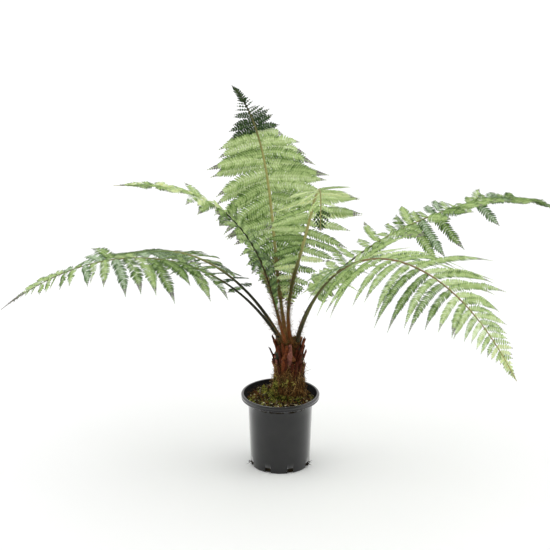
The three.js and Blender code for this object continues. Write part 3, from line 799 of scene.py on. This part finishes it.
def add_roots(materials):
    """The mat of fine roots over the trunk's lower half."""
    random = random_for("roots")
    count = 2400
    turn = random.uniform(0, 2 * np.pi, count)
    z = SOIL_TOP + 0.105 * random.random(count) ** 1.2
    out, across = compass(turn)
    radius = trunk_radius(z) + random.uniform(-0.001, 0.004, count)
    starts = out * radius[:, None] + UP * z[:, None] + [TRUNK_X, 0, 0]
    headings = -UP + across * random.normal(0, 0.55, (count, 1))
    headings = headings + out * random.normal(0.05, 0.08, (count, 1))
    lengths = np.minimum(random.uniform(0.008, 0.032, count), (z - SOIL_TOP) + 0.01)
    thick = random.uniform(0.0003, 0.0010, count)
    add_strands("root_mat", starts, unit(headings), lengths, thick, 0.2, materials, "trunk", random)


def add_hairs(materials):
    """The rusty hairs round the crown and on the feet of the stalks."""
    random = random_for("hairs")
    starts, headings = [], []
    for frond in FRONDS:
        count, reach = frond["hairs"]
        points = frond_points(frond)
        u = reach * random.random(count) ** 1.1 / frond["length"]
        along, right, over = directions(frond, u)
        turn = random.uniform(0, 2 * np.pi, (count, 1))
        out = right * np.cos(turn) + over * np.sin(turn)
        starts.append(between(points, u) + out * stalk_radius(frond, u)[:, None] * 0.9)
        headings.append(along * random.uniform(0.1, 1.2, (count, 1)) + out * 0.8)
    count = 420
    turn, radius = random.uniform(0, 2 * np.pi, count), 0.030 * np.sqrt(random.random(count))
    out, _ = compass(turn)
    starts.append(out * radius[:, None] + [TRUNK_X, 0, CROWN - 0.003])
    headings.append(UP + out * random.uniform(-0.2, 0.9, (count, 1)))
    starts, headings = np.concatenate(starts), unit(np.concatenate(headings))
    lengths = random.uniform(0.005, 0.016, len(starts))
    thick = np.full(len(starts), 0.00034)
    add_strands("crown_hairs", starts, headings, lengths, thick, 0.25, materials, "trunk", random,
                segments=4)


# ---- compost and pot

SOIL_RADIUS = 0.0868


def soil_level(x, y):
    """The compost's height: sunk at the pot's wall, heaped a little against the trunk."""
    away = np.hypot(x - TRUNK_X, y)
    edge = np.hypot(x, y)
    place = np.stack([x, y, 0 * x], -1)
    height = SOIL_TOP + 0.0035 * noise(place, 0.02, 7) + 0.0030 * noise(place, 0.008, 8)
    height = height + 0.006 * np.exp(-((away - 0.04) / 0.012) ** 2)
    return height - 0.006 * smoothstep(edge, 0.068, SOIL_RADIUS)


def add_soil(materials):
    """The body of the compost, uneven on top, standing on the pot's floor."""
    batch = Batch()
    sides, rings = 150, 56
    radius = np.linspace(0.0008, SOIL_RADIUS, rings)
    turns = around(sides)
    r, turn = np.meshgrid(radius, turns, indexing="ij")
    x, y = r * np.cos(turn), r * np.sin(turn)
    top = np.stack([x, y, soil_level(x, y)], -1)
    floor = top[-1] * [0.86, 0.86, 0] + UP * 0.0026
    low = top[-1] * [0.93, 0.93, 0] + UP * 0.165
    batch.add(np.concatenate([top, low[None], floor[None]]), ring_faces(rings + 2, sides)[:, ::-1])
    batch.close(0, sides, False)
    batch.close((rings + 1) * sides, sides, True)
    return batch.piece("compost_bed", materials, "compost", ["compost"])


def soil_places(random, count):
    """Random places on the compost, clear of the trunk."""
    x, y = random.uniform(-0.088, 0.088, (2, 4 * count))
    keep = (np.hypot(x, y) < SOIL_RADIUS - 0.001) & (np.hypot(x - TRUNK_X, y) > 0.036)
    x, y = x[keep][:count], y[keep][:count]
    return np.stack([x, y, soil_level(x, y)], 1)


def add_chips(materials):
    """Bits of bark and peat that lie on the compost."""
    batch = Batch()
    random = random_for("chips")
    places = soil_places(random, 1900)
    count = len(places)
    corners = np.array([(1, 0, 0), (0, 1, 0), (-1, 0, 0), (0, -1, 0), (0, 0, 1), (0, 0, -1)], float)
    faces = [(0, 1, 4), (1, 2, 4), (2, 3, 4), (3, 0, 4), (1, 0, 5), (2, 1, 5), (3, 2, 5), (0, 3, 5)]
    sizes = random.uniform(0.0011, 0.0042, (count, 1, 3)) * [1.5, 0.8, 0.7]
    shapes = corners * sizes * random.uniform(0.7, 1.3, (count, 6, 1))
    turn = random.uniform(0, 2 * np.pi, (count, 1))
    y, x = rolled(shapes[..., 1], shapes[..., 0], turn)
    shapes = np.stack([x, y, shapes[..., 2] + 0.3 * shapes[..., 0]], -1) + places[:, None]
    weights = (0.36, 0.26, 0.19, 0.05, 0.14)
    shades = np.repeat(random.choice(len(materials), count, p=weights), len(faces))
    batch.add_copies(shapes, faces, shades)
    return batch.piece("compost_bits", materials, "compost", smooth=False)


def add_moss(materials):
    """Cushions of moss on the compost and up the foot of the trunk, thickest on the left."""
    batch = Batch()
    random = random_for("moss")
    ground = soil_places(random, 5000)
    away = np.hypot(ground[:, 0] + 0.012, ground[:, 1] - 0.01)
    patch = 1.3 * noise(ground, 0.014, 21) + 1.5 * np.exp(-((away / 0.032) ** 2)) - 0.35
    ground = ground[patch > random.uniform(0.1, 0.9, len(ground))]
    count = 5200
    turn = random.uniform(0, 2 * np.pi, count)
    z = SOIL_TOP + 0.062 * random.random(count) ** 1.5
    out, _ = compass(turn)
    bark = out * (trunk_radius(z) + 0.001)[:, None] + UP * z[:, None] + [TRUNK_X, 0, 0]
    patch = noise(bark, 0.018, 22) - 0.9 * out[:, 0] - 0.2
    chosen = patch > random.uniform(0.0, 0.9, count)
    bark, out = bark[chosen], out[chosen]
    feet = np.concatenate([ground, bark])
    lean = np.concatenate([np.repeat(UP[None], len(ground), 0), unit(out + 0.7 * UP)])
    blades = 6
    feet, lean = np.repeat(feet, blades, 0), np.repeat(lean, blades, 0)
    count = len(feet)
    heading = unit(lean + random.normal(0, 0.55, (count, 3)))
    across = unit(np.cross(heading, random.normal(0, 1, (count, 3))))
    length = random.uniform(0.0020, 0.0062, (count, 1))
    width = 0.2 * length
    droop = random.normal(0, 0.3, (count, 3)) * length
    middle = feet + heading * length * 0.5
    vertices = np.stack(
        [feet, middle + across * width, middle - across * width, feet + heading * length + droop], 1
    )
    tuft = np.repeat(random.integers(0, len(materials), count // blades), blades * 2)
    batch.add_copies(vertices, [(0, 1, 2), (1, 3, 2)], tuft)
    return batch.piece("moss", materials, "compost")


def add_litter(materials):
    """Straws and dead hairs that lie over the compost."""
    random = random_for("litter")
    places = soil_places(random, 260) + UP * 0.0015
    turn = random.uniform(0, 2 * np.pi, len(places))
    headings = np.stack([np.cos(turn), np.sin(turn), random.uniform(0, 0.25, len(places))], 1)
    lengths = random.uniform(0.006, 0.02, len(places))
    thick = random.uniform(0.0002, 0.0005, len(places))
    add_strands("litter", places, headings, lengths, thick, 0.2, materials, "compost", random)


def add_notch_roots(materials):
    """Fine dark roots that have grown out through two of the pot's drainage notches."""
    random = random_for("notch roots")
    count = 26
    turn = np.radians(np.where(np.arange(count) % 2, 200, -25) + random.normal(0, 4, count))
    out, across = compass(turn)
    starts = out * 0.0745 + UP * random.uniform(0.007, 0.013, (count, 1))
    headings = out + across * random.normal(0, 0.5, (count, 1))
    headings = unit(headings + UP * random.uniform(-0.1, 0.6, (count, 1)))
    lengths = random.uniform(0.009, 0.019, count)
    thick = random.uniform(0.0006, 0.0012, count)
    add_strands("notch_roots", starts, headings, lengths, thick, 0.12, materials, "compost", random)


def arc(centre, radius, start, end, count):
    """Points of an arc in (radius, height), angles in degrees."""
    turns = np.radians(np.linspace(start, end, count))
    return [(centre[0] + radius * math.cos(a), centre[1] + radius * math.sin(a)) for a in turns]


POT_FOOT = 0.0776
SLOTS = 8
FIRST_SLOT = 20
SLOT_HALF_SIZE = (0.009, 0.0085, 0.014)


def add_pot(skins):
    """The pot: a turned shell with a rolled lip, and drainage slots round its foot."""
    foot, body, lip, top = POT_FOOT, 0.084, LIP_RADIUS, POT_HEIGHT
    wall, body_top, lip_width, bead = 0.0021, 0.1775, 0.007, 0.0038
    profile = [(0, 0), (foot * 0.5, 0)]
    profile += arc((foot - 0.002, 0.002), 0.002, -90, 0, 5)
    profile += [(foot + (body - foot) * s, body_top * s) for s in np.linspace(0.05, 0.985, 9)]
    profile += [(body + 0.0008, body_top), (body + 0.003, body_top + 0.0025)]
    profile += [(lip - 0.005, top - 0.0132), (lip - 0.0026, top - 0.0132)]
    profile += arc((lip - 0.0026, top - 0.0114), 0.0018, -90, 60, 6)
    profile += [(lip - 0.0021, top - 0.0088), (lip - 0.0019, top - 0.0072)]
    profile += arc((lip - bead, top - bead), bead, -35, 90, 9)
    profile += arc((lip - lip_width + 0.0012, top - 0.0012), 0.0012, 90, 180, 4)
    profile += [(lip - lip_width, top - 0.0105), (body - wall + 0.003, body_top + 0.0035)]
    profile += [(body - wall, body_top), (foot - wall, 0.004)]
    profile += [(foot - wall - 0.002, wall), (0, wall)]
    sides = 160
    radius, height = np.array(profile[1:-1]).T
    turns = around(sides)
    x, y = radius[:, None] * np.cos(turns), radius[:, None] * np.sin(turns)
    shell = np.stack([x, y, np.repeat(height[:, None], sides, 1)], -1)
    batch = Batch()
    inside = np.arange(len(radius) - 1) >= len(radius) - 7
    batch.add(shell, ring_faces(len(radius), sides), np.repeat(inside, sides).astype(int))
    batch.add([(0, 0, 0), (0, 0, wall)], np.empty((0, 3), int))
    side = np.arange(sides)
    on = (side + 1) % sides
    last = (len(radius) - 1) * sides
    low, high = len(radius) * sides, len(radius) * sides + 1
    batch.faces.append(np.stack([on, side, np.full(sides, low)], 1))
    batch.faces.append(np.stack([last + side, last + on, np.full(sides, high)], 1))
    batch.shades += [np.zeros(sides, int), np.ones(sides, int)]
    pot = batch.piece("pot_shell", skins, "pot", ["pot"])
    cut_away(pot, slot_boxes())


def slot_boxes():
    """The boxes that the drainage slots take out of the pot's foot."""
    boxes = Batch()
    cube = np.array(list(itertools.product((-1, 1), repeat=3)), float) * SLOT_HALF_SIZE
    sides = [(0, 1, 3, 2), (4, 6, 7, 5), (0, 4, 5, 1), (2, 3, 7, 6), (0, 2, 6, 4), (1, 5, 7, 3)]
    for i in range(SLOTS):
        turn = math.radians(FIRST_SLOT + 360 / SLOTS * i)
        out = np.array([math.sin(turn), -math.cos(turn), 0])
        across = np.array([math.cos(turn), math.sin(turn), 0])
        boxes.add(cube @ [out, across, UP] + out * POT_FOOT, sides)
    return boxes


def cut_away(piece, batch):
    """Cuts the batch's shapes out of a piece, for good."""
    mesh = bpy.data.meshes.new("cutters")
    points, faces = np.concatenate(batch.vertices), np.concatenate(batch.faces)
    mesh.from_pydata(points.tolist(), [], faces.tolist())
    cutter = bpy.data.objects.new("cutters", mesh)
    bpy.context.collection.objects.link(cutter)
    cut = piece.modifiers.new("slots", "BOOLEAN")
    cut.operation, cut.solver, cut.object = "DIFFERENCE", "EXACT", cutter
    depsgraph = bpy.context.evaluated_depsgraph_get()
    made = bpy.data.meshes.new_from_object(piece.evaluated_get(depsgraph))
    piece.modifiers.clear()
    piece.data = made
    bpy.data.objects.remove(cutter)


# ---- stage


def add_stage():
    """A wide pale floor in an even white studio."""
    floor_mesh = bpy.data.meshes.new("floor")
    reach = 60
    corners = [(-reach, -reach, 0), (reach, -reach, 0), (reach, reach, 0), (-reach, reach, 0)]
    floor_mesh.from_pydata(corners, [], [(0, 1, 2, 3)])
    floor = bpy.data.objects.new("floor", floor_mesh)
    floor.location.z = -0.0004
    bpy.context.collection.objects.link(floor)
    floor_mesh.materials.append(
        material("floor_paint", (0.96, 0.96, 0.96), 0.9, spread=0.004, size=0.4, bump=0.0)
    )
    add_world()
    bpy.context.scene.view_settings.view_transform = "Standard"


def add_world():
    """A white studio: brightest overhead and at the sides, dimmer in front."""
    world = bpy.data.worlds.new("studio")
    world.use_nodes = True
    nodes, links = world.node_tree.nodes, world.node_tree.links
    nodes["Background"].inputs["Color"].default_value = (1, 1, 1, 1)
    place = new_node(nodes, "TexCoord")
    parts = new_node(nodes, "SeparateXYZ")
    links.new(place.outputs["Generated"], parts.inputs["Vector"])
    sides, power, glow = 2.8, 6, 0.36

    def step(operation, *inputs):
        made = new_node(nodes, "Math")
        made.operation = operation
        for socket, value in zip(made.inputs, inputs):
            if isinstance(value, (int, float)):
                socket.default_value = value
            else:
                links.new(value, socket)
        return made.outputs[0]

    total = step("MULTIPLY_ADD", step("POWER", parts.outputs["X"], power), sides, glow)
    for axis, gain in (("Y", 0.25), ("Z", 0.85)):
        total = step("MULTIPLY_ADD", parts.outputs[axis], gain, total)
    links.new(total, nodes["Background"].inputs["Strength"])
    bpy.context.scene.world = world


def add_camera():
    """The camera looks down on the fern from in front, far off with a long lens."""
    pitch, distance = math.radians(20.8), 7.5
    target = (-0.0139, 0, 0.527)
    data = bpy.data.cameras.new("camera")
    data.sensor_width, data.lens = 36, 190.7
    camera = bpy.data.objects.new("camera", data)
    back, up = distance * math.cos(pitch), distance * math.sin(pitch)
    camera.location = (target[0], target[1] - back, target[2] + up)
    camera.rotation_euler = (math.pi / 2 - pitch, 0, 0)
    bpy.context.collection.objects.link(camera)
    bpy.context.scene.camera = camera


# Each row: name, base colour, roughness, how far the colour spreads, and for some the size of its
# patches and the strength and grain of the bump. Leaves have a colour each and share the rest.
BARK = (
    ("root_felt", (0.058, 0.022, 0.004), 0.9, 0.9, 0.004, 0.9, 0.0012),
    ("base_dark", (0.052, 0.010, 0.002), 0.7, 0.6, 0.005, 0.6, 0.001),
    ("base_brown", (0.135, 0.034, 0.009), 0.65, 0.6, 0.005, 0.6, 0.001),
    ("base_plum", (0.21, 0.078, 0.055), 0.6, 0.5, 0.005, 0.5, 0.001),
    ("base_tan", (0.30, 0.15, 0.09), 0.6, 0.4, 0.005, 0.5, 0.001),
)
ROOTS = (
    ("root_rust", (0.20, 0.085, 0.020), 0.8, 0.4),
    ("root_brown", (0.085, 0.040, 0.010), 0.85, 0.4),
    ("root_dark", (0.020, 0.010, 0.003), 0.9, 0.4),
    ("root_gold", (0.38, 0.24, 0.085), 0.8, 0.4),
)
HAIRS = (
    ("hair_gold", (0.34, 0.17, 0.055), 0.6, 0.3),
    ("hair_rust", (0.17, 0.055, 0.016), 0.65, 0.3),
    ("hair_olive", (0.15, 0.15, 0.04), 0.65, 0.3),
)
BITS = (
    ("peat", (0.016, 0.011, 0.004), 0.95, 0.6, 0.004, 1.0, 0.0012),
    ("bark_chip", (0.085, 0.046, 0.018), 0.9, 0.5, 0.003),
    ("bark_rust", (0.16, 0.065, 0.020), 0.9, 0.5, 0.003),
    ("pale_chip", (0.66, 0.60, 0.38), 0.9, 0.3, 0.003),
    ("mossy_chip", (0.20, 0.20, 0.035), 0.9, 0.5, 0.003),
)
LEAF = (0.5, 0.16, 0.006, 0.25, 0.0006)
MOSS = (
    ("moss_yellow", (0.62, 0.60, 0.14), 0.8, 0.4, 0.004),
    ("moss_green", (0.15, 0.18, 0.022), 0.8, 0.4, 0.004),
    ("moss_dark", (0.045, 0.055, 0.010), 0.85, 0.4, 0.004),
)


def main():
    greens = {name: material(f"leaf_{name}", colour, *LEAF) for name, colour in GREENS.items()}
    bark, roots, hairs, bits, moss = (
        [material(*row) for row in rows] for rows in (BARK, ROOTS, HAIRS, BITS, MOSS)
    )
    peat, pale_chip = bits[0], bits[3]
    plastic = [
        material("black_plastic", (0.0055, 0.0055, 0.006), 0.3, spread=0.3, size=0.03, bump=0.05,
                 grain=0.002, Specular_IOR_Level=0.5, IOR=1.34, Coat_Weight=1.0, Coat_Roughness=0.1,
                 Coat_IOR=1.34, Sheen_Weight=0.9, Sheen_Roughness=0.3),
        material("dusty_plastic", (0.006, 0.006, 0.006), 0.7, spread=0.8, size=0.006, bump=0.3),
    ]
    add_pot(plastic)
    add_soil([peat])
    add_chips(bits)
    add_moss(moss)
    add_litter([hairs[0], roots[0], pale_chip])
    add_notch_roots([roots[2]])
    add_trunk(bark)
    add_roots(roots)
    add_hairs(hairs)
    for seed, frond in enumerate(FRONDS):
        add_frond_stalk(frond)
        add_frond_leaves(frond, seed, greens)
    add_stage()
    add_camera()


main()
